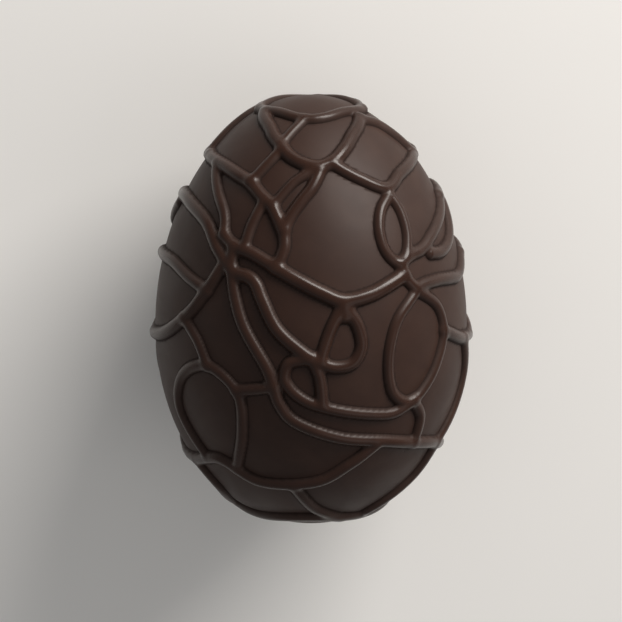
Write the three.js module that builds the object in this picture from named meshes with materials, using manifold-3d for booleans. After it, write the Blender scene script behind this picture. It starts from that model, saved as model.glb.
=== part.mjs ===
// Moulded chocolate egg, lying on its side: a smooth egg with raised, rope-like strokes that cross and join
// all over it. The two halves come from one mould, so the pattern of one half is repeated on the other by a
// half turn. Millimetres, +Z up. The egg's long axis lies along Y with its narrower end at +Y, and it rests
// on a small flat spot at z = 0.
import * as THREE from "three";
import { ConvexGeometry } from "three/addons/geometries/ConvexGeometry.js";
import { mergeVertices } from "three/addons/utils/BufferGeometryUtils.js";
import Module from "manifold-3d";

// The egg's body
const EGG_LENGTH = 86; // tip to tip
const EGG_WIDTH = 61.5; // at its thickest, without the strokes
const TAPER = 0.07; // how much thinner the +Y half is than an even ellipse, and how much fatter the other
const FLAT_DEPTH = 0.35; // how far the flat spot cuts into the body

// The raised strokes: each is a parabola in section, levelled off at its crest
const STROKE_WIDTH = 2.9; // across the feet of a usual stroke
const STROKE_HEIGHT = 1.15; // crest of a usual stroke above the body
const LEVEL_HEIGHT = 1.9; // height that crests level off towards; lower makes them rounder
const WEB = 0.55; // how far strokes that meet fill the corners between them

// The facets
const STROKE_STEP = 2.3; // between facet corners along a stroke
const STROKE_ROWS = [0, -0.5, 0.5, -1, 1]; // facet corners across a stroke, in half widths
const STROKE_GAP = 0.52; // least distance between two facet corners on the strokes
const BODY_STEP = 5; // between facet corners on the bare body
const BODY_GAP = 2.4; // least distance from such a corner to a stroke's
const LINE_STEP = 0.4; // between the points that stand for a stroke's centre line

// Turns of the two halves about the long axis, in degrees
const MOULD_TURNS = [0, 180];

// The strokes on one half of the egg. Each has its gauge, which is its size against a usual stroke's, and
// its path, a smooth line through a few places: degrees round the long axis from the top of the egg (positive
// towards +X), and mm along the axis from mid-length. The names follow the half that faces up, seen with the
// narrow end at the top.
const STROKES = {
  // round the narrow tip
  tipRing: { gauge: 0.9, places: [[-90, 40.4], [-45, 41], [0, 40.4], [45, 41], [90, 40.4]] },
  bowl: {
    gauge: 1,
    places: [
      [-66, 40.4], [-42, 39], [-30, 37.5], [-21, 36.1], [-14, 34.7], [-5, 33.5], [5, 33], [14, 33.9],
      [24, 35.8], [36, 37.8], [58, 39.8],
    ],
  },
  bowlHorn: { gauge: 0.8, places: [[-22, 36.4], [-16, 38.6], [-8, 40.4]] },
  // round the large middle panel
  shoulder: {
    gauge: 0.95,
    places: [
      [14, 33.2], [27, 30.6], [41, 28.4], [54.5, 30.1], [74, 31.2], [97, 31.8],
    ],
  },
  panelLeft: {
    gauge: 0.9,
    places: [
      [5, 32.2], [0.5, 29.5], [-4.2, 27.4], [-9.2, 24.5], [-11.3, 21.8], [-11, 18.8], [-13.5, 15.4],
    ],
  },
  panelFoot: {
    gauge: 1.1,
    places: [
      [-14, 15.3], [-4, 12.8], [4, 10.8], [12, 9.2], [22, 9.9], [30, 11.3], [38, 12.8],
    ],
  },
  // the narrow loop at the panel's right, and the lines that run on to the right
  lens: {
    gauge: 0.85,
    places: [
      [41, 27.2], [34, 25], [30.6, 22], [30.5, 18.8], [32.6, 16.5], [36.5, 15], [40.5, 16.2], [43.2, 18.7],
      [44.3, 21.3], [43.9, 24.4], [41, 27.2],
    ],
  },
  rightSweep: {
    gauge: 0.95,
    places: [
      [38, 14.9], [43, 16], [50.2, 16.6], [57, 18], [64.7, 19.5], [76, 21.4], [87, 23.4],
    ],
  },
  rightFork: { gauge: 0.95, places: [[54.5, 15.4], [64, 15], [76, 16.8], [92, 22]] },
  rightLink: {
    gauge: 0.95,
    places: [
      [36.8, 15], [38, 12.8], [42.4, 10.2], [48.6, 10.3], [56.4, 10.2], [65, 9.6], [75, 9.2], [89, 11.8],
    ],
  },
  rightHorn: { gauge: 0.9, places: [[90, 31.5], [84, 35], [74, 38.2], [60, 39.4]] },
  // the tangle at the left
  lensTop: { gauge: 0.75, places: [[2, 32.6], [-9.4, 30.2], [-18, 26.2]] },
  tieUpper: { gauge: 0.85, places: [[-21, 35.4], [-27, 32.8], [-33, 29.8]] },
  tieLower: { gauge: 1, places: [[-33, 29.8], [-26, 28], [-18, 25.8], [-12, 22]] },
  leftReach: { gauge: 1, places: [[-83, 31.8], [-55, 31.4], [-33, 29.8]] },
  leftDrop: { gauge: 0.9, places: [[-64, 31.2], [-51, 27], [-42, 23.6], [-39, 20.2]] },
  innerDrop: { gauge: 0.85, places: [[-23, 26.6], [-26.6, 22.4], [-28, 18.2]] },
  tangleUpper: { gauge: 1, places: [[-39, 20.2], [-33, 18.4], [-24, 17.4], [-14, 15.3]] },
  leftSweep: { gauge: 0.95, places: [[-91, 11.8], [-68, 12.6], [-52, 10.8], [-42, 9.4]] },
  leftTail: { gauge: 1, places: [[-37, 14], [-43, 9], [-52, 3.6], [-68, -1.6], [-92, -4.6]] },
  // below the middle
  outerSweep: {
    gauge: 1,
    places: [
      [-33, 18.4], [-32.6, 15.6], [-31.3, 12.6], [-28.8, 8.6], [-24.8, 3.8], [-16.5, -3.2], [-13.6, -7],
      [-11.4, -10.9], [-5.5, -14.6], [10.6, -18], [28.5, -19.6], [46, -21.6], [66, -24], [95, -28],
    ],
  },
  innerSweep: {
    gauge: 1.05,
    places: [
      [-94, 23.4], [-74, 23.8], [-52, 21.8], [-40, 17.2], [-31, 13.8], [-25, 13.2], [-21.2, 12],
      [-18.3, 9.2], [-12, 3.6], [-1, -1.4],
    ],
  },
  dropNeck: { gauge: 0.9, places: [[12, 8.6], [12.3, 6.1]] },
  dropLeft: { gauge: 0.9, places: [[11.3, 8.2], [7.2, 4.1], [4.9, 0.8], [3.4, -2]] },
  dropRight: {
    gauge: 0.95,
    places: [
      [12.4, 8.2], [16.7, 4.6], [18.2, 0.4], [15, -2.8], [8, -3.4], [0, -1.6],
    ],
  },
  cellRight: { gauge: 0.9, places: [[0, -1.6], [3, -5.4], [4, -10.4]] },
  bottomArc: {
    gauge: 0.92,
    places: [
      [-2, -1.8], [-8, -2.8], [-9.2, -6.2], [-3, -9.8], [8, -12], [22, -13.5], [32, -13.9], [40.5, -12.1],
    ],
  },
  loop: {
    gauge: 0.85,
    places: [
      [43, 9.4], [33.5, 5], [29.6, 0.4], [28.6, -4.4], [30.4, -9.1], [35, -11.6], [40.5, -12], [46, -9.9],
      [51.5, -6], [56, 0], [53, 5.6], [43, 9.4],
    ],
  },
  // towards the blunt end
  rightHem: { gauge: 0.95, places: [[56, 0.4], [71, -3], [88, -4.6]] },
  rightStay: { gauge: 0.95, places: [[74, -3.4], [80, -11], [76, -18], [66, -24]] },
  lowLoop: {
    gauge: 0.9,
    places: [
      [-34, -26.2], [-27.6, -18.4], [-27.4, -9.6], [-40, -5], [-54, -8.4], [-60, -16], [-50.5, -25.2],
    ],
  },
  lowTieUp: { gauge: 0.9, places: [[-53, 3.2], [-45, -0.4], [-40, -5]] },
  lowTieAcross: { gauge: 0.9, places: [[-13.4, -7.4], [-20, -8.2], [-28, -9]] },
  hem: {
    gauge: 1,
    places: [
      [-85, -28], [-62, -27], [-42, -24.8], [-24, -28.6], [2, -28], [16, -24.2], [26, -20.3],
    ],
  },
  loopTail: { gauge: 0.9, places: [[40.5, -12], [46, -16], [46, -21.6]] },
  tailMiddle: { gauge: 0.95, places: [[-8, -29.2], [2, -35], [22, -38.4]] },
  tailRight: { gauge: 0.95, places: [[66, -24], [62, -31], [44, -37.8]] },
  tailLeft: { gauge: 0.95, places: [[-64, -27.6], [-60, -33.4], [-74, -38]] },
  baseRing: { gauge: 1, places: [[-90, -38.2], [-45, -38.8], [0, -37.6], [45, -38.8], [90, -38.2]] },
};

// Distance from the long axis to the body's surface, at a place along the axis.
function bodyRadius(along) {
  const t = (2 * along) / EGG_LENGTH;
  return (EGG_WIDTH / 2) * Math.sqrt(Math.max(0, 1 - t * t)) * (1 - TAPER * t);
}

// The body's surface at a place given as degrees round the axis and mm along it.
function bodyPoint(around, along) {
  const angle = THREE.MathUtils.degToRad(around);
  const radius = bodyRadius(along);
  return new THREE.Vector3(radius * Math.sin(angle), along, radius * Math.cos(angle));
}

// The direction straight out of the body at one of its points.
function bodyNormal(point) {
  const reach = 0.01;
  const slope = (bodyRadius(point.y + reach) - bodyRadius(point.y - reach)) / (2 * reach);
  const angle = Math.atan2(point.x, point.z);
  return new THREE.Vector3(Math.sin(angle), -slope, Math.cos(angle)).normalize();
}

// One stroke: its centre line on the body, turned about the long axis, and its section.
class StrokeLine extends THREE.Curve {
  constructor({ gauge, places }, turn) {
    super();
    const turned = places.map(([around, along]) => new THREE.Vector2(around + turn, along));
    this.path = new THREE.SplineCurve(turned);
    this.halfWidth = (gauge * STROKE_WIDTH) / 2;
    this.peak = -LEVEL_HEIGHT * Math.log(1 - (gauge * STROKE_HEIGHT) / LEVEL_HEIGHT);
    this.points = this.getSpacedPoints(Math.ceil(this.getLength() / LINE_STEP));
  }

  getPoint(t, target = new THREE.Vector3()) {
    const place = this.path.getPoint(t);
    return target.copy(bodyPoint(place.x, place.y));
  }

  // Height at a point of the body before it is levelled off. It falls below nothing past the stroke's feet.
  heightAt(point) {
    const distance = Math.min(...this.points.map((other) => other.distanceTo(point)));
    return this.peak * (1 - (distance / this.halfWidth) ** 2);
  }
}

const strokeLines = MOULD_TURNS.flatMap((turn) =>
  Object.values(STROKES).map((stroke) => new StrokeLine(stroke, turn)),
);

// How far the strokes stand out of the body at one of its points. Their heights are blended, so that strokes
// that meet run together, and then levelled off, so that places where they cross don't stand much higher.
function strokeHeight(point) {
  const share = strokeLines.reduce((sum, line) => sum + Math.exp(line.heightAt(point) / WEB), 0);
  const blend = Math.max(0, WEB * Math.log(share));
  return LEVEL_HEIGHT * (1 - Math.exp(-blend / LEVEL_HEIGHT));
}

// Places for facet corners in rows along one stroke.
function rowPoints(line, row) {
  const steps = Math.ceil(line.getLength() / STROKE_STEP);
  return Array.from({ length: steps + 1 }, (_, i) => {
    const point = line.getPointAt(i / steps);
    const across = bodyNormal(point).cross(line.getTangentAt(i / steps));
    point.addScaledVector(across, row * line.halfWidth);
    return bodyPoint(THREE.MathUtils.radToDeg(Math.atan2(point.x, point.z)), point.y);
  });
}

// Places for facet corners spread evenly over the whole body: a spiral that turns by the golden angle at each
// step.
function spreadPoints() {
  const goldenAngle = 180 * (3 - Math.sqrt(5));
  const count = Math.round((Math.PI * EGG_WIDTH * EGG_LENGTH) / BODY_STEP ** 2);
  return Array.from({ length: count }, (_, i) => {
    const along = ((i + 0.5) / count - 0.5) * EGG_LENGTH;
    return bodyPoint(i * goldenAngle, along);
  });
}

// The egg's facets: corners on the smooth body, joined by their convex hull, and then each raised by the
// strokes.
function eggGeometry() {
  const corners = [];
  const addCorners = (points, gap) => {
    for (const point of points) {
      if (corners.every((other) => other.distanceTo(point) >= gap)) corners.push(point);
    }
  };
  addCorners([bodyPoint(0, -EGG_LENGTH / 2), bodyPoint(0, EGG_LENGTH / 2)], STROKE_GAP); // the two tips
  for (const row of STROKE_ROWS) {
    for (const line of strokeLines) addCorners(rowPoints(line, row), STROKE_GAP);
  }
  addCorners(spreadPoints(), BODY_GAP);
  const geometry = new ConvexGeometry(corners);
  const position = geometry.getAttribute("position");
  const point = new THREE.Vector3();
  for (let i = 0; i < position.count; i++) {
    point.fromBufferAttribute(position, i);
    point.addScaledVector(bodyNormal(point), strokeHeight(point));
    position.setXYZ(i, point.x, point.y, point.z);
  }
  return geometry;
}

const wasm = await Module();
wasm.setup();

function toSolid(geometry) {
  geometry.deleteAttribute("normal");
  geometry.deleteAttribute("uv");
  const merged = mergeVertices(geometry, 1e-4);
  return new wasm.Manifold(
    new wasm.Mesh({
      numProp: 3,
      vertProperties: merged.getAttribute("position").array,
      triVerts: new Uint32Array(merged.index.array),
    }),
  );
}

function toGeometry(solid) {
  const mesh = solid.getMesh();
  const geometry = new THREE.BufferGeometry();
  geometry.setAttribute("position", new THREE.BufferAttribute(mesh.vertProperties, mesh.numProp));
  geometry.setIndex(new THREE.BufferAttribute(mesh.triVerts, 1));
  geometry.computeVertexNormals();
  return geometry;
}

// What the flat spot trims off: everything below it.
function floorSolid() {
  const depth = EGG_WIDTH / 2;
  const box = new THREE.BoxGeometry(2 * EGG_WIDTH, 2 * EGG_LENGTH, depth);
  box.translate(0, 0, FLAT_DEPTH - EGG_WIDTH / 2 - depth / 2);
  return toSolid(box);
}

const egg = toSolid(eggGeometry()).subtract(floorSolid());
const chocolate = new THREE.MeshStandardMaterial({ color: "#3a2721", roughness: 0.38, metalness: 0 });
const eggMesh = new THREE.Mesh(toGeometry(egg), chocolate);
eggMesh.name = "egg";
eggMesh.position.z = EGG_WIDTH / 2 - FLAT_DEPTH;

const part = new THREE.Group();
part.add(eggMesh);
export default part;
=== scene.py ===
import math

import bpy
import numpy as np
from bpy.props import FloatProperty, FloatVectorProperty, IntProperty, PointerProperty
from bpy.types import Operator, Panel, PropertyGroup
from mathutils import Matrix, Vector


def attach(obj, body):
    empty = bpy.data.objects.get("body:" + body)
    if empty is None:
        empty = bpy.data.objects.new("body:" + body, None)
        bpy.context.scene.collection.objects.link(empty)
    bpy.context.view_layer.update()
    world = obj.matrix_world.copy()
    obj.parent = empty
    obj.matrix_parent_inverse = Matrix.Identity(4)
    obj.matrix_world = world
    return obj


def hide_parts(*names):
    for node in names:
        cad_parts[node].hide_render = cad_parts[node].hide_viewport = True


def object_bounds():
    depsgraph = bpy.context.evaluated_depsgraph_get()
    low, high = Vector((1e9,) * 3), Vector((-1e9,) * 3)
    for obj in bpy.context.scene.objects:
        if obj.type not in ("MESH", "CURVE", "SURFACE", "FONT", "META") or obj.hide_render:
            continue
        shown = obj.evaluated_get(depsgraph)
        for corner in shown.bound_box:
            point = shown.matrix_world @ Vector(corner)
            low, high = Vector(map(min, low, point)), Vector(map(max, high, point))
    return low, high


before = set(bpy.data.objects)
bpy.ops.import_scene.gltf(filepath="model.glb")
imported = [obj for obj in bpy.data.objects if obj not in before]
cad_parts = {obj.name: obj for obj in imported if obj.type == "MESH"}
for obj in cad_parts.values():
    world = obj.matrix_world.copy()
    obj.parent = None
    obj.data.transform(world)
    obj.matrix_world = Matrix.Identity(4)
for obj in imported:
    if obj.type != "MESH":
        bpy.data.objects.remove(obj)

bl_info = {
    "name": "Moulded chocolate egg",
    "version": (1, 0, 0),
    "blender": (4, 5, 0),
    "location": "3D View > Sidebar > Chocolate egg",
    "description": "A dark chocolate egg from a two-part mould, with strokes that loop and join",
    "category": "Add Mesh",
}

CAD_NODE = "egg"
CAD_BODY = "root"
CAD_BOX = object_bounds()
CAD_LENGTH = CAD_BOX[1].y - CAD_BOX[0].y
MM = 0.001

# The strokes on one half of the egg. Each has its gauge, its size against a usual stroke's, and its
# path, a smooth line through a few places: degrees round the long axis from the top of the egg
# (positive towards +X), and mm along the axis from mid-length. The names follow the half that faces
# up, seen with the narrow end at the top.
STROKES = {
    # round the narrow tip
    "tip_ring": (0.9, [(-90, 40.4), (-45, 41), (0, 40.4), (45, 41), (90, 40.4)]),
    "bowl": (1.0, [(-66, 40.4), (-42, 39), (-30, 37.5), (-21, 36.1), (-14, 34.7), (-5, 33.5),
                   (5, 33), (14, 33.9), (24, 35.8), (36, 37.8), (58, 39.8)]),
    "bowl_horn": (0.8, [(-22, 36.4), (-16, 38.6), (-8, 40.4)]),
    # round the large middle panel
    "shoulder": (0.95, [(14, 33.2), (27, 30.6), (41, 28.4), (54.5, 30.1), (74, 31.2), (97, 31.8)]),
    "panel_left": (0.9, [(5, 32.2), (0.5, 29.5), (-4.2, 27.4), (-9.2, 24.5), (-11.3, 21.8),
                         (-11, 18.8), (-13.5, 15.4)]),
    "panel_foot": (1.1, [(-14, 15.3), (-4, 12.8), (4, 10.8), (12, 9.2), (22, 9.9), (30, 11.3),
                         (38, 12.8)]),
    # the narrow loop at the panel's right, and the lines that run on to the right
    "lens": (0.85, [(41, 27.2), (34, 25), (30.6, 22), (30.5, 18.8), (32.6, 16.5), (36.5, 15),
                    (40.5, 16.2), (43.2, 18.7), (44.3, 21.3), (43.9, 24.4), (41, 27.2)]),
    "right_sweep": (0.95, [(38, 14.9), (43, 16), (50.2, 16.6), (57, 18), (64.7, 19.5), (76, 21.4),
                           (87, 23.4)]),
    "right_fork": (0.95, [(54.5, 15.4), (64, 15), (76, 16.8), (92, 22)]),
    "right_link": (0.95, [(36.8, 15), (38, 12.8), (42.4, 10.2), (48.6, 10.3), (56.4, 10.2),
                          (65, 9.6), (75, 9.2), (89, 11.8)]),
    "right_horn": (0.9, [(90, 31.5), (84, 35), (74, 38.2), (60, 39.4)]),
    # the tangle at the left
    "lens_top": (0.75, [(2, 32.6), (-9.4, 30.2), (-18, 26.2)]),
    "tie_upper": (0.85, [(-21, 35.4), (-27, 32.8), (-33, 29.8)]),
    "tie_lower": (1.0, [(-33, 29.8), (-26, 28), (-18, 25.8), (-12, 22)]),
    "left_reach": (1.0, [(-83, 31.8), (-55, 31.4), (-33, 29.8)]),
    "left_drop": (0.9, [(-64, 31.2), (-51, 27), (-42, 23.6), (-39, 20.2)]),
    "inner_drop": (0.85, [(-23, 26.6), (-26.6, 22.4), (-28, 18.2)]),
    "tangle_upper": (1.0, [(-39, 20.2), (-33, 18.4), (-24, 17.4), (-14, 15.3)]),
    "left_sweep": (0.95, [(-91, 11.8), (-68, 12.6), (-52, 10.8), (-42, 9.4)]),
    "left_tail": (1.0, [(-37, 14), (-43, 9), (-52, 3.6), (-68, -1.6), (-92, -4.6)]),
    # below the middle
    "outer_sweep": (1.0, [(-33, 18.4), (-32.6, 15.6), (-31.3, 12.6), (-28.8, 8.6), (-24.8, 3.8),
                          (-16.5, -3.2), (-13.6, -7), (-11.4, -10.9), (-5.5, -14.6), (10.6, -18),
                          (28.5, -19.6), (46, -21.6), (66, -24), (95, -28)]),
    "inner_sweep": (1.05, [(-94, 23.4), (-74, 23.8), (-52, 21.8), (-40, 17.2), (-31, 13.8),
                           (-25, 13.2), (-21.2, 12), (-18.3, 9.2), (-12, 3.6), (-1, -1.4)]),
    "drop_neck": (0.9, [(12, 8.6), (12.3, 6.1)]),
    "drop_left": (0.9, [(11.3, 8.2), (7.2, 4.1), (4.9, 0.8), (3.4, -2)]),
    "drop_right": (0.95, [(12.4, 8.2), (16.7, 4.6), (18.2, 0.4), (15, -2.8), (8, -3.4), (0, -1.6)]),
    "cell_right": (0.9, [(0, -1.6), (3, -5.4), (4, -10.4)]),
    "bottom_arc": (0.92, [(-2, -1.8), (-8, -2.8), (-9.2, -6.2), (-3, -9.8), (8, -12), (22, -13.5),
                          (32, -13.9), (40.5, -12.1)]),
    "loop": (0.85, [(43, 9.4), (33.5, 5), (29.6, 0.4), (28.6, -4.4), (30.4, -9.1), (35, -11.6),
                    (40.5, -12), (46, -9.9), (51.5, -6), (56, 0), (53, 5.6), (43, 9.4)]),
    # towards the blunt end
    "right_hem": (0.95, [(56, 0.4), (71, -3), (88, -4.6)]),
    "right_stay": (0.95, [(74, -3.4), (80, -11), (76, -18), (66, -24)]),
    "low_loop": (0.9, [(-34, -26.2), (-27.6, -18.4), (-27.4, -9.6), (-40, -5), (-54, -8.4),
                       (-60, -16), (-50.5, -25.2)]),
    "low_tie_up": (0.9, [(-53, 3.2), (-45, -0.4), (-40, -5)]),
    "low_tie_across": (0.9, [(-13.4, -7.4), (-20, -8.2), (-28, -9)]),
    "hem": (1.0, [(-85, -28), (-62, -27), (-42, -24.8), (-24, -28.6), (2, -28), (16, -24.2),
                  (26, -20.3)]),
    "loop_tail": (0.9, [(40.5, -12), (46, -16), (46, -21.6)]),
    "tail_middle": (0.95, [(-8, -29.2), (2, -35), (22, -38.4)]),
    "tail_right": (0.95, [(66, -24), (62, -31), (44, -37.8)]),
    "tail_left": (0.95, [(-64, -27.6), (-60, -33.4), (-74, -38)]),
    "base_ring": (1.0, [(-90, -38.2), (-45, -38.8), (0, -37.6), (45, -38.8), (90, -38.2)]),
}
MOULD_TURNS = (0, 180)   # the two halves come from one mould, turned about the long axis
SPAN_STEPS = 16          # straight steps that stand for the curve between two places of a stroke
STROKE_REACH = 2.6       # how far from its middle line a stroke counts, in half widths
LEAST_SUM = 1e-30        # stands for strokes too far off to count, so that a logarithm can be taken

# The six patches of a sphere made from a cube: which way each looks out, and which way is its right
CUBE_FACES = (
    ((0, 0, 1), (1, 0, 0)), ((1, 0, 0), (0, 0, -1)), ((0, 0, -1), (-1, 0, 0)),
    ((-1, 0, 0), (0, 0, 1)), ((0, 1, 0), (1, 0, 0)), ((0, -1, 0), (1, 0, 0)),
)
SEAM_DECIMALS = 6        # directions that agree this far are one corner
FINE = 2                 # fine cells along a wide cell's side
FINE_MARGIN = 0.5 * MM   # how far below nothing the blended height may lie in a fine cell
FOOT_SNAP = 0.12 * MM    # corners nearer than this to a stroke's foot are moved onto it
FOOT_ROUNDS = 2          # how often a corner is moved towards its foot, a little closer each time
LEAST_SLOPE = 0.3        # flattest slope that counts as a stroke's wall
FOOT_SHADE = 0.3 * MM    # spread of the painted shade and the duller gloss at a stroke's foot, as height

# The chocolate's own detail, in mm
CLOUD_SIZE = 7           # patches where the cocoa butter set paler
SMUDGE_SIZE = 11         # patches where the mould's face was a little duller
GRAIN_SIZE = 0.35        # the grain is finer than this, and drawn as coarse as it needs to show
GRAIN_DEPTH = 0.02
BUBBLE_SPACING = 8       # from one air bubble's pinhole to the next
BUBBLE_DEPTH = 0.12
BUBBLE_RADII = (0.12, 0.28)    # of a pinhole's floor and of its rim

CLOUD_BAND = (0.42, 0.75)      # noise at which a pale patch starts and is full
CLOUD_MOST = 0.7               # how pale a full patch is, against the pale colour
SMUDGE_BAND = (0.3, 0.7)       # noise at which a smudge starts and is full
SMUDGE_CHANGE = (-0.04, 0.05)  # what the least and the most smudge add to the roughness
CREST_BAND = (0.3, 0.95)       # heights, against a usual stroke's, where gloss starts and is full
FOOT_PAINTED_SHADE = 0.75               # how strong the painted crease shade along a foot is, against the shade colour
COCOA_BUTTER_IOR = 1.45

FLOOR_TONE_SIZE = 60     # patches of faintly uneven tone on the floor, in mm
FLOOR_TONE = 0.97        # the darker tone, against the lighter
FLOOR_ROUGHNESS = 0.75

# The softboxes: direction from the egg, metres away from it, and width and height in metres
KEY_SOFTBOX = ((0.56, 0.76, 0.36), 0.9, (0.6, 0.4))
FILL_SOFTBOX = ((0.7, -0.3, 0.8), 1.5, (1.0, 1.0))
SENSOR_WIDTH = 36.0      # of the camera, in mm
CLIP_START = 0.01        # nearest thing that the camera sees, in metres

# The Mix node's inputs and outputs by number, because its kinds share their names
MIX_SHARE, NUMBER_A, NUMBER_B, COLOUR_A, COLOUR_B = 0, 2, 3, 6, 7
MIXED_NUMBER, MIXED_COLOUR = 0, 2


# --- sizes and colours ----------------------------------------------------------------------------

def linear(colour):
    """An sRGB hex colour such as "#3a2721" as a linear red, green, blue and alpha."""
    parts = [int(colour[i:i + 2], 16) / 255 for i in (1, 3, 5)]
    return [c / 12.92 if c <= 0.04045 else ((c + 0.055) / 1.055) ** 2.4 for c in parts] + [1.0]


def length_property(name, description, millimetres):
    """A length in metres whose default is given in millimetres."""
    return FloatProperty(name=name, description=description, default=millimetres * MM,
                         unit="LENGTH", precision=5)


def share_property(name, description, share):
    """A number from 0 to 1."""
    return FloatProperty(name=name, description=description, default=share, subtype="FACTOR")


def colour_property(name, description, colour):
    """A linear colour whose default is given as sRGB hex."""
    return FloatVectorProperty(name=name, description=description, default=linear(colour), size=4,
                               subtype="COLOR", min=0, max=1)


class EggShape(PropertyGroup):
    """The moulded form."""
    length: FloatProperty(name="Length", description="Egg from tip to tip", default=CAD_LENGTH,
                          unit="LENGTH")
    width: length_property("Width", "Egg at its thickest, without the strokes", 61.5)
    taper: share_property("Taper", "How much thinner the narrow half is than an even ellipse", 0.07)
    flat_depth: length_property("Flat depth", "How far the flat spot cuts into the egg", 0.35)
    stroke_width: length_property("Stroke width", "Across the feet of a usual stroke", 2.9)
    stroke_height: length_property("Stroke height", "Crest of a usual stroke above the egg", 1.15)
    level_height: length_property(
        "Level height", "Height that crests level off towards; lower is rounder", 1.9)
    web: length_property("Web", "How far strokes that meet fill the corners between them", 0.55)
    steps_around: IntProperty(
        name="Steps round", description="Wide cells along a quarter turn", default=56)
    steps_along: IntProperty(
        name="Steps along", description="Wide cells along the egg's sides", default=72)


class ChocolateFinish(PropertyGroup):
    """The chocolate's colours and gloss."""
    body: colour_property("Chocolate", "The chocolate itself", "#2b1810")
    pale: colour_property(
        "Pale patches", "Where the cocoa butter has set a little paler", "#342017")
    # painted shade: this darker colour is mixed in along the strokes' feet, where shade falls in
    # the creases
    crease_shade_colour: colour_property("Hollows", "Along the feet of the strokes", "#190e0a")
    sheen: share_property(
        "Sheen", "How much light it mirrors head-on, half being plain glossy chocolate", 0.33)
    roughness: share_property("Roughness", "Of the smooth panels", 0.53)
    crest_roughness: share_property(
        "Crest roughness", "Of the crests, which set against the mould's polished grooves", 0.25)
    foot_roughness: share_property(
        "Foot roughness", "Of the creases at the feet of the strokes", 0.9)


class StageLook(PropertyGroup):
    """The floor, the lamps and the camera."""
    floor: colour_property("Floor", "Plain pale floor", "#f3f2f0")
    floor_side: length_property("Floor size", "Side of the square floor", 6000)
    air: colour_property("Surroundings", "What lies beyond the floor", "#f1f0ef")
    air_strength: FloatProperty(
        name="Surroundings' light", description="Brightness beyond the floor", default=0.34)
    key_colour: colour_property("Key colour", "Main softbox, beyond the narrow end", "#fffaf4")
    key_power: FloatProperty(
        name="Key power", description="Main softbox", default=12.0, unit="POWER")
    fill_colour: colour_property("Fill colour", "Softbox that lifts the shadows", "#fffcf8")
    fill_power: FloatProperty(
        name="Fill power", description="Softbox that lifts the shadows", default=1.8, unit="POWER")
    elevation: FloatProperty(
        name="View tilt", description="How far the view leans towards the narrow end",
        default=math.radians(14.4), subtype="ANGLE")
    distance: length_property("View distance", "Camera to the middle of the egg", 734.5)
    lens: FloatProperty(name="Lens", description="Focal length in mm", default=215.0)


# --- the egg's form -------------------------------------------------------------------------------

def body_at(direction, shape):
    """Points of the smooth body for unit directions, about the body's middle.

    Formula: the unit sphere is stretched to the egg's length along Y, and to its width across; the
    width is then multiplied by one minus the taper times the direction's Y part, which thins the +Y
    end and fattens the other.
    """
    across = shape.width / 2 * (1 - shape.taper * direction[:, 1])
    along = shape.length / 2 * direction[:, 1]
    return np.stack([across * direction[:, 0], along, across * direction[:, 2]], axis=1)


def direction_of(point, shape):
    """Unit directions for points on the body or just off it.

    Formula: body_at undone, which is exact on the body: Y over half the length, X and Z over half
    the width there, and the result brought to unit length.
    """
    y = point[:, 1] / (shape.length / 2)
    across = shape.width / 2 * (1 - shape.taper * y)
    direction = np.stack([point[:, 0] / across, y, point[:, 2] / across], axis=1)
    return direction / np.linalg.norm(direction, axis=1, keepdims=True)


def outward_at(direction, shape):
    """Unit normals of the smooth body for unit directions.

    Formula: the body is a profile turned about Y, so its normal is the unit direction's own X and Z
    parts, and along Y the profile's slope turned round, which stays finite at both tips.
    """
    y = direction[:, 1]
    slope = shape.width / shape.length * (y * (1 - shape.taper * y) + shape.taper * (1 - y * y))
    normal = np.stack([direction[:, 0], slope, direction[:, 2]], axis=1)
    return normal / np.linalg.norm(normal, axis=1, keepdims=True)


def stroke_line(places, turn, shape):
    """A stroke's middle line on the body.

    Formula: a uniform Catmull-Rom curve through the places, in degrees round and millimetres along,
    with its first and last place doubled; each point is then carried onto the body.
    """
    p = np.array([places[0], *places, places[-1]], float)
    t = np.linspace(0, 1, SPAN_STEPS, endpoint=False)[None, :, None]
    p0, p1, p2, p3 = (p[i:len(p) - 3 + i, None, :] for i in range(4))
    curve = 0.5 * (2 * p1 + (p2 - p0) * t + (2 * p0 - 5 * p1 + 4 * p2 - p3) * t**2
                   + (3 * p1 - p0 - 3 * p2 + p3) * t**3)
    curve = np.concatenate([curve.reshape(-1, 2), p[-1:]])
    around = np.radians(curve[:, 0] + turn)
    y = curve[:, 1] * MM / (shape.length / 2)
    ring = np.sqrt(np.clip(1 - y * y, 0, 1))
    return body_at(np.stack([ring * np.sin(around), y, ring * np.cos(around)], axis=1), shape)


def nearest_on_line(points, line):
    """Where on a line of straight steps each point comes nearest to it.

    Formula: each point is dropped square onto every step, the landing place is kept between the
    step's ends, and the one with the shortest distance counts.
    """
    start, step = line[:-1], np.diff(line, axis=0)
    gap = points[:, None, :] - start
    share = np.clip((gap * step).sum(2) / (step * step).sum(1), 0, 1)
    away = gap - share[:, :, None] * step
    best = (away * away).sum(2).argmin(axis=1)
    return points - away[np.arange(len(points)), best]


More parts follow.
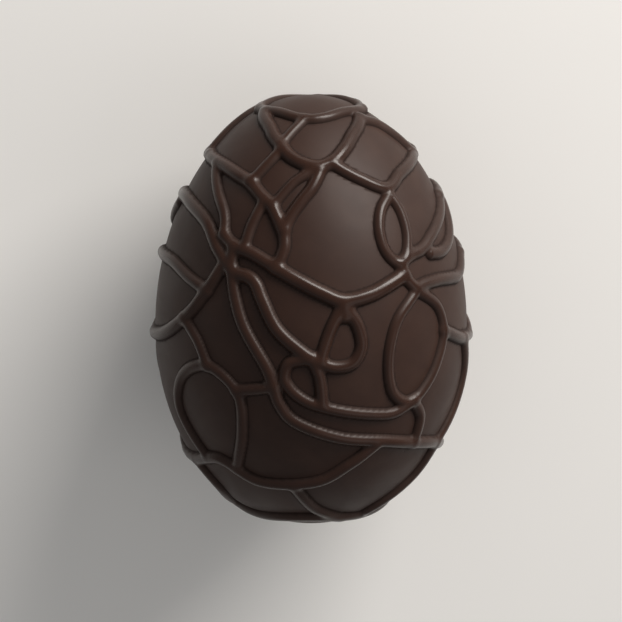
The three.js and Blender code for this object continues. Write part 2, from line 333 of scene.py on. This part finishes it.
def blended_height(points, shape):
    """Height of the strokes at points of the body, before it is levelled off, and its slope.

    Formula: each stroke is a parabola across its path: its peak, times one minus the square of the
    distance over half its width, which falls below nothing past its feet. The blend is the web
    times the logarithm of the sum, over all strokes, of e to the power of the height over the web.
    The slope is the blend's change for each metre, as a vector. Strokes too far off are skipped.
    """
    total = np.full(len(points), LEAST_SUM)
    slope = np.zeros(points.shape)
    for turn in MOULD_TURNS:
        for gauge, places in STROKES.values():
            line = stroke_line(places, turn, shape)
            half = gauge * shape.stroke_width / 2
            peak = -shape.level_height * math.log(
                1 - gauge * shape.stroke_height / shape.level_height)
            middle = (line.min(axis=0) + line.max(axis=0)) / 2
            reach = np.linalg.norm(line - middle, axis=1).max() + STROKE_REACH * half
            near = np.flatnonzero(((points - middle) ** 2).sum(axis=1) < reach * reach)
            away = points[near] - nearest_on_line(points[near], line)
            height = peak * (1 - (away * away).sum(axis=1) / (half * half))
            share = np.exp(height / shape.web)
            total[near] += share
            slope[near] -= (share * 2 * peak / (half * half))[:, None] * away
    return shape.web * np.log(total), slope / total[:, None]


def levelled(blend, shape):
    """Height above the body from the blended height, and how fast the one follows the other.

    Formula: the level height, times one minus e to the power of minus the blended height over the
    level height. It makes broad crests with steep sides, and keeps the places where strokes cross
    from standing much higher.
    """
    follow = np.exp(-np.maximum(blend, 0) / shape.level_height)
    return shape.level_height * (1 - follow), follow


def patch_directions(out, right, steps_right, steps_up):
    """Directions of one face of a cube blown up to a sphere, on a grid of two parameters.

    Formula: for u and v from -1 to 1, the face's outward axis, plus its right axis times the
    tangent of u eighths of a turn, plus its up axis times the tangent of v eighths of a turn,
    brought to unit length.
    """
    out, right = np.array(out, float), np.array(right, float)
    up = np.cross(out, right)
    u = np.tan(np.linspace(-1, 1, steps_right + 1) * math.pi / 4)
    v = np.tan(np.linspace(-1, 1, steps_up + 1) * math.pi / 4)
    grid = out + u[None, :, None] * right + v[:, None, None] * up
    return grid / np.linalg.norm(grid, axis=2, keepdims=True)


def sphere_cells(steps_around, steps_along):
    """Unit directions of the six patches, and each wide cell's block of finely spaced corners.

    The patches' doubled corners along their edges are joined, so that the blocks number the same
    corner alike.
    """
    directions, blocks, first = [], [], 0
    for out, right in CUBE_FACES:
        steps_up = steps_around if out[1] else steps_along
        grid = patch_directions(out, right, FINE * steps_around, FINE * steps_up)
        number = first + np.arange(grid.shape[0] * grid.shape[1]).reshape(grid.shape[:2])
        window = np.lib.stride_tricks.sliding_window_view(number, (FINE + 1, FINE + 1))
        blocks.append(window[::FINE, ::FINE].reshape(-1, FINE + 1, FINE + 1))
        directions.append(grid.reshape(-1, 3))
        first += number.size
    directions, blocks = np.concatenate(directions), np.concatenate(blocks)
    _, keep, joined = np.unique(np.round(directions, SEAM_DECIMALS), axis=0, return_index=True,
                                return_inverse=True)
    return directions[keep], joined.reshape(-1)[blocks]


def moved_to_feet(direction, shape):
    """Directions moved onto the nearest foot of a stroke.

    Formula: the foot lies where the blended height is nothing, so each place moves against the
    height's slope by the height over the slope. That is done more than once, as the height isn't
    quite straight.
    """
    for _ in range(FOOT_ROUNDS):
        body = body_at(direction, shape)
        blend, slope = blended_height(body, shape)
        steep = np.maximum((slope * slope).sum(axis=1), LEAST_SLOPE**2)
        direction = direction_of(body - slope * (blend / steep)[:, None], shape)
    return direction


def cut_along_feet(direction, blend, quads, shape):
    """Fine cells cut in two where a foot crosses them: all corners, bare cells and raised cells.

    Formula: a cell whose corners lie on both sides of a foot is first halved into triangles. Where
    the blended height changes sign along a triangle's side, a new corner is put on the foot there.
    The triangle's corners and new corners on either side of the foot, taken in order, make its two
    parts. Cells come as their corners in one row, with the number of corners of each.
    """
    side = np.sign(blend)
    mixed = (side[quads].max(axis=1) > 0) & (side[quads].min(axis=1) < 0)
    halved, whole = quads[mixed], quads[~mixed]
    triangles = np.concatenate([halved[:, [0, 1, 2]], halved[:, [0, 2, 3]]])
    after = np.roll(triangles, -1, axis=1)
    crossed = side[triangles] * side[after] < 0
    ends = np.sort(np.stack([triangles[crossed], after[crossed]], axis=1), axis=1)
    ends, shared = np.unique(ends, axis=0, return_inverse=True)
    share = (blend[ends[:, 0]] / (blend[ends[:, 0]] - blend[ends[:, 1]]))[:, None]
    between = direction[ends[:, 0]] * (1 - share) + direction[ends[:, 1]] * share
    between = moved_to_feet(between / np.linalg.norm(between, axis=1, keepdims=True), shape)
    new = np.zeros(triangles.shape, int)
    new[crossed] = len(direction) + shared.reshape(-1)
    ring = np.stack([triangles, new], axis=2).reshape(-1, 6)

    # a triangle has a raised part if any corner is high, and a bare part if any is low; one that
    # lies level all over counts as bare, and a level corner belongs to either part
    high, low = side[triangles] > 0, side[triangles] < 0
    has_raised, has_bare = high.any(axis=1), low.any(axis=1) | ~high.any(axis=1)
    whole_raised = (side[whole] > 0).any(axis=1)
    cells = []
    for kept_corners, has_part, whole_part in (
            (~high, has_bare, whole[~whole_raised]), (~low, has_raised, whole[whole_raised])):
        kept = np.stack([kept_corners, crossed], axis=2).reshape(-1, 6)[has_part]
        corners = np.concatenate([ring[has_part][kept], whole_part.ravel()])
        counts = np.concatenate([kept.sum(axis=1), np.full(len(whole_part), whole.shape[1])])
        cells.append((corners, counts))
    return np.concatenate([direction, between]), *cells


def egg_cells(shape):
    """Corner directions of the egg, which of them lie on a foot, and its bare and raised cells.

    Formula: a wide cell with a corner on or close to a stroke is made of fine cells, which are cut
    along the feet of the strokes. A wide cell beside it takes the fine corners along their shared
    side too, so the surface stays closed. Cells come as their corners in one row, with the number
    of corners of each.
    """
    direction, blocks = sphere_cells(shape.steps_around, shape.steps_along)
    blend, slope = blended_height(body_at(direction, shape), shape)
    stroked = blend[blocks].max(axis=(1, 2)) > -FINE_MARGIN
    fine, wide = blocks[stroked], blocks[~stroked]
    quads = np.stack([fine[:, :-1, :-1], fine[:, :-1, 1:], fine[:, 1:, 1:], fine[:, 1:, :-1]],
                     axis=3).reshape(-1, 4)

    snapped = np.abs(blend) < FOOT_SNAP * np.linalg.norm(slope, axis=1)
    direction[snapped] = moved_to_feet(direction[snapped], shape)
    blend[snapped] = 0
    direction, bare, raised = cut_along_feet(direction, blend, quads, shape)
    on_foot = np.concatenate([snapped, np.ones(len(direction) - len(snapped), bool)])

    # round each wide cell: its own corners, and those of its fine corners that a fine cell uses
    ring = np.concatenate(
        [wide[:, 0, :-1], wide[:, :-1, -1], wide[:, -1, :0:-1], wide[:, :0:-1, 0]], axis=1)
    used = np.zeros(len(direction), bool)
    used[bare[0]] = True
    used[raised[0]] = True
    used[ring[:, ::FINE]] = True
    bare_corners = np.concatenate([bare[0], ring[used[ring]]])
    bare_counts = np.concatenate([bare[1], used[ring].sum(axis=1)])
    number = np.cumsum(used) - 1
    bare, raised = (number[bare_corners], bare_counts), (number[raised[0]], raised[1])
    return direction[used], on_foot[used], bare, raised


def egg_mesh(shape):
    """The egg's mesh: the body, raised by its strokes and flattened where it rests.

    Formula: each point of the body moves along its normal by the levelled height, and none lies
    below the flat spot. A stroke's normal is the body's, less the height's slope along the body.
    The faces on either side of a stroke's foot keep their own normals there, so the foot is crisp.
    """
    direction, on_foot, bare, raised = egg_cells(shape)
    body, outward = body_at(direction, shape), outward_at(direction, shape)
    blend, slope = blended_height(body, shape)
    height, follow = levelled(np.where(on_foot, 0, blend), shape)
    place = body + outward * height[:, None]
    place[:, 2] = np.maximum(place[:, 2] + shape.width / 2 - shape.flat_depth, 0)
    slope *= follow[:, None]
    wall = outward - (slope - outward * (slope * outward).sum(axis=1, keepdims=True))
    wall /= np.linalg.norm(wall, axis=1, keepdims=True)
    flat = place[:, 2] <= 0
    outward[flat] = wall[flat] = (0, 0, -1)

    corners = np.concatenate([bare[0], raised[0]])
    counts = np.concatenate([bare[1], raised[1]])
    mesh = bpy.data.meshes.new("egg_surface")
    mesh.vertices.add(len(place))
    mesh.vertices.foreach_set("co", place.astype(np.float32).ravel())
    mesh.loops.add(len(corners))
    mesh.loops.foreach_set("vertex_index", corners.astype(np.int32))
    mesh.polygons.add(len(counts))
    mesh.polygons.foreach_set("loop_start", (np.cumsum(counts) - counts).astype(np.int32))
    mesh.polygons.foreach_set("use_smooth", np.ones(len(counts), bool))
    mesh.update(calc_edges=True)
    if mesh.validate():
        raise RuntimeError("the egg's surface has broken faces")
    mesh.normals_split_custom_set(np.concatenate([outward[bare[0]], wall[raised[0]]]))
    add_attribute(mesh, "crest", height / shape.stroke_height)
    # painted shade: the foot attribute darkens the colour where shade falls along the strokes'
    # feet, and also dulls the gloss there
    add_attribute(mesh, "foot", np.exp(-(blend / FOOT_SHADE) ** 2))
    return mesh


def add_attribute(mesh, name, values):
    """Stores one number for each vertex, for the material to read."""
    layer = mesh.attributes.new(name, "FLOAT", "POINT")
    layer.data.foreach_set("value", values.astype(np.float32))


# --- materials ------------------------------------------------------------------------------------

def add_node(tree, kind, inputs=None, **settings):
    """Adds a node: its settings by name, and each input a value or another node's output."""
    node = tree.nodes.new(kind)
    for name, value in settings.items():
        setattr(node, name, value)
    for name, value in (inputs or {}).items():
        if isinstance(value, bpy.types.NodeSocket):
            tree.links.new(value, node.inputs[name])
        else:
            node.inputs[name].default_value = value
    return node


def new_material(name):
    """A new material with no nodes yet, and its node tree."""
    material = bpy.data.materials.new(name)
    material.use_nodes = True
    material.node_tree.nodes.clear()
    return material, material.node_tree


def per_metre(millimetres):
    """A noise scale, in cycles per metre, for features of a size in millimetres."""
    return 1 / (millimetres * MM)


def moulded_chocolate(finish):
    """Dark chocolate, tempered and set in a polished plastic mould.

    The mould's face gives it a soft satin gloss, glossier on the crests of the strokes and dull in
    the creases at their feet. Cocoa butter that set a little unevenly gives faint paler clouds, the
    surface has a very fine grain, and here and there is the pinhole of an air bubble.
    """
    material, tree = new_material("dark_chocolate_moulded")
    place = add_node(tree, "ShaderNodeTexCoord").outputs["Object"]
    crest = add_node(tree, "ShaderNodeAttribute", attribute_name="crest").outputs["Fac"]
    foot = add_node(tree, "ShaderNodeAttribute", attribute_name="foot").outputs["Fac"]

    # colour: paler clouds, and painted crease shade darkening it along the feet of the strokes
    clouds = add_node(tree, "ShaderNodeTexNoise", {
        "Vector": place, "Scale": per_metre(CLOUD_SIZE), "Detail": 5.0, "Roughness": 0.6,
        "Distortion": 0.6})
    cloud_share = add_node(tree, "ShaderNodeMapRange", {
        "Value": clouds.outputs["Fac"], "From Min": CLOUD_BAND[0], "From Max": CLOUD_BAND[1],
        "To Min": 0.0, "To Max": CLOUD_MOST})
    clouded = add_node(tree, "ShaderNodeMix", {
        MIX_SHARE: cloud_share.outputs["Result"], COLOUR_A: finish.body, COLOUR_B: finish.pale},
        data_type="RGBA")
    # painted shade: mixes the dark shade colour in along the feet of the strokes
    painted_foot_shade = add_node(tree, "ShaderNodeMath", {0: foot, 1: FOOT_PAINTED_SHADE}, operation="MULTIPLY")
    colour = add_node(tree, "ShaderNodeMix", {
        MIX_SHARE: painted_foot_shade.outputs["Value"], COLOUR_A: clouded.outputs[MIXED_COLOUR],
        COLOUR_B: finish.crease_shade_colour}, data_type="RGBA")

    # gloss: smudges dull the panels a little, the crests are glossier, and the creases are dull
    smudges = add_node(tree, "ShaderNodeTexNoise", {
        "Vector": place, "Scale": per_metre(SMUDGE_SIZE), "Detail": 3.0, "Roughness": 0.55,
        "Distortion": 1.0})
    panel_gloss = add_node(tree, "ShaderNodeMapRange", {
        "Value": smudges.outputs["Fac"], "From Min": SMUDGE_BAND[0], "From Max": SMUDGE_BAND[1],
        "To Min": finish.roughness + SMUDGE_CHANGE[0],
        "To Max": finish.roughness + SMUDGE_CHANGE[1]})
    crest_share = add_node(tree, "ShaderNodeMapRange", {
        "Value": crest, "From Min": CREST_BAND[0], "From Max": CREST_BAND[1], "To Min": 0.0,
        "To Max": 1.0})
    open_gloss = add_node(tree, "ShaderNodeMix", {
        MIX_SHARE: crest_share.outputs["Result"], NUMBER_A: panel_gloss.outputs["Result"],
        NUMBER_B: finish.crest_roughness}, data_type="FLOAT")
    gloss = add_node(tree, "ShaderNodeMix", {
        MIX_SHARE: foot, NUMBER_A: open_gloss.outputs[MIXED_NUMBER],
        NUMBER_B: finish.foot_roughness}, data_type="FLOAT")

    # relief: fine grain, and the pinholes of air bubbles
    grain = add_node(tree, "ShaderNodeTexNoise", {
        "Vector": place, "Scale": per_metre(GRAIN_SIZE), "Detail": 2.0, "Roughness": 0.5})
    grain_bump = add_node(tree, "ShaderNodeBump", {
        "Height": grain.outputs["Fac"], "Strength": 0.25, "Distance": GRAIN_DEPTH * MM})
    bubbles = add_node(tree, "ShaderNodeTexVoronoi", {
        "Vector": place, "Scale": per_metre(BUBBLE_SPACING), "Randomness": 1.0})
    pinholes = add_node(tree, "ShaderNodeMapRange", {
        "Value": bubbles.outputs["Distance"], "From Min": BUBBLE_RADII[0] / BUBBLE_SPACING,
        "From Max": BUBBLE_RADII[1] / BUBBLE_SPACING, "To Min": 0.0, "To Max": 1.0},
        interpolation_type="SMOOTHSTEP")
    relief = add_node(tree, "ShaderNodeBump", {
        "Height": pinholes.outputs["Result"], "Normal": grain_bump.outputs["Normal"],
        "Strength": 0.6, "Distance": BUBBLE_DEPTH * MM})

    surface = add_node(tree, "ShaderNodeBsdfPrincipled", {
        "Base Color": colour.outputs[MIXED_COLOUR], "Roughness": gloss.outputs[MIXED_NUMBER],
        "Specular IOR Level": finish.sheen, "Normal": relief.outputs["Normal"],
        "IOR": COCOA_BUTTER_IOR, "Metallic": 0.0})
    add_node(tree, "ShaderNodeOutputMaterial", {"Surface": surface.outputs["BSDF"]})
    return material


def laminate_floor(colour):
    """Matt laminate sheet, pressed flat and pale.

    Its coat is faintly uneven, which breaks up its tone, and too rough to mirror the egg.
    """
    material, tree = new_material("pale_studio_floor")
    place = add_node(tree, "ShaderNodeTexCoord").outputs["Object"]
    tone = add_node(tree, "ShaderNodeTexNoise", {
        "Vector": place, "Scale": per_metre(FLOOR_TONE_SIZE), "Detail": 3.0})
    darker = [channel * FLOOR_TONE for channel in list(colour)[:3]] + [1.0]
    paint = add_node(tree, "ShaderNodeMix", {
        MIX_SHARE: tone.outputs["Fac"], COLOUR_A: colour, COLOUR_B: darker}, data_type="RGBA")
    surface = add_node(tree, "ShaderNodeBsdfPrincipled", {
        "Base Color": paint.outputs[MIXED_COLOUR], "Roughness": FLOOR_ROUGHNESS})
    add_node(tree, "ShaderNodeOutputMaterial", {"Surface": surface.outputs["BSDF"]})
    return material


# --- operators ------------------------------------------------------------------------------------

class CHOCOLATE_OT_mould_egg(Operator):
    """Mould the chocolate egg in place of the plain one"""
    bl_idname = "chocolate.mould_egg"
    bl_label = "Mould the egg"

    def execute(self, context):
        settings = context.scene.chocolate_egg_shape
        if settings.length <= 0 or settings.width <= 0:
            raise ValueError("the egg needs a length and a width")
        egg = bpy.data.objects.new("moulded_egg", egg_mesh(settings))
        context.scene.collection.objects.link(egg)
        egg.data.materials.append(moulded_chocolate(context.scene.chocolate_egg_finish))
        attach(egg, CAD_BODY)
        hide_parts(CAD_NODE)
        return {"FINISHED"}


def softbox(name, placing, power, colour, target):
    """A rectangular area lamp that looks at a place."""
    direction, distance, size = placing
    data = bpy.data.lights.new(name, "AREA")
    data.shape = "RECTANGLE"
    data.size, data.size_y = size
    data.energy = power
    data.color = colour[:3]
    lamp = bpy.data.objects.new(name, data)
    back = Vector(direction).normalized()
    turn = back.to_track_quat("Z", "Y").to_matrix().to_4x4()
    lamp.matrix_world = Matrix.Translation(target + back * distance) @ turn
    return lamp


class CHOCOLATE_OT_set_stage(Operator):
    """Lay the pale floor, hang the soft lamps and place the camera over the egg"""
    bl_idname = "chocolate.set_stage"
    bl_label = "Set the stage"

    def execute(self, context):
        scene, look = context.scene, context.scene.chocolate_egg_stage
        low, high = CAD_BOX
        middle = (low + high) / 2
        self.lay_floor(scene, look)
        self.hang_lamps(scene, look, middle)
        self.place_camera(scene, look, middle)
        scene.view_settings.view_transform = "Standard"
        if scene.camera is None:
            raise RuntimeError("the stage has no camera")
        return {"FINISHED"}

    def lay_floor(self, scene, look):
        half = look.floor_side / 2
        corners = [(-half, -half, 0), (half, -half, 0), (half, half, 0), (-half, half, 0)]
        mesh = bpy.data.meshes.new("floor_sheet")
        mesh.from_pydata(corners, [], [(0, 1, 2, 3)])
        mesh.materials.append(laminate_floor(look.floor))
        floor = bpy.data.objects.new("studio_floor", mesh)
        scene.collection.objects.link(floor)

    def hang_lamps(self, scene, look, middle):
        world = bpy.data.worlds.new("pale_surroundings")
        world.use_nodes = True
        background = world.node_tree.nodes["Background"]
        background.inputs["Color"].default_value = look.air
        background.inputs["Strength"].default_value = look.air_strength
        scene.world = world
        for lamp in (
                softbox("key_softbox", KEY_SOFTBOX, look.key_power, look.key_colour, middle),
                softbox("fill_softbox", FILL_SOFTBOX, look.fill_power, look.fill_colour, middle)):
            scene.collection.objects.link(lamp)

    def place_camera(self, scene, look, middle):
        data = bpy.data.cameras.new("view")
        data.sensor_width = SENSOR_WIDTH
        data.lens = look.lens
        data.clip_start = CLIP_START
        camera = bpy.data.objects.new("view", data)
        back = Vector((0, math.sin(look.elevation), math.cos(look.elevation)))
        right = Vector((1, 0, 0))
        turn = Matrix((right, back.cross(right), back)).transposed().to_4x4()
        camera.matrix_world = Matrix.Translation(middle + back * look.distance) @ turn
        scene.collection.objects.link(camera)
        scene.camera = camera


class CHOCOLATE_PT_egg(Panel):
    """The egg's sizes, finish and stage, with the steps that make them"""
    bl_label = "Moulded chocolate egg"
    bl_space_type = "VIEW_3D"
    bl_region_type = "UI"
    bl_category = "Chocolate egg"

    def draw(self, context):
        scene = context.scene
        for settings in (scene.chocolate_egg_shape, scene.chocolate_egg_finish,
                         scene.chocolate_egg_stage):
            box = self.layout.box()
            for name in settings.bl_rna.properties.keys():
                if name not in {"rna_type", "name"}:
                    box.prop(settings, name)
        self.layout.operator(CHOCOLATE_OT_mould_egg.bl_idname)
        self.layout.operator(CHOCOLATE_OT_set_stage.bl_idname)


CLASSES = (EggShape, ChocolateFinish, StageLook, CHOCOLATE_OT_mould_egg, CHOCOLATE_OT_set_stage,
           CHOCOLATE_PT_egg)


def register():
    for cls in CLASSES:
        bpy.utils.register_class(cls)
    bpy.types.Scene.chocolate_egg_shape = PointerProperty(type=EggShape)
    bpy.types.Scene.chocolate_egg_finish = PointerProperty(type=ChocolateFinish)
    bpy.types.Scene.chocolate_egg_stage = PointerProperty(type=StageLook)


def unregister():
    del bpy.types.Scene.chocolate_egg_stage
    del bpy.types.Scene.chocolate_egg_finish
    del bpy.types.Scene.chocolate_egg_shape
    for cls in reversed(CLASSES):
        bpy.utils.unregister_class(cls)


def main():
    register()
    bpy.ops.chocolate.mould_egg()
    bpy.ops.chocolate.set_stage()


if __name__ == "__main__":
    main()
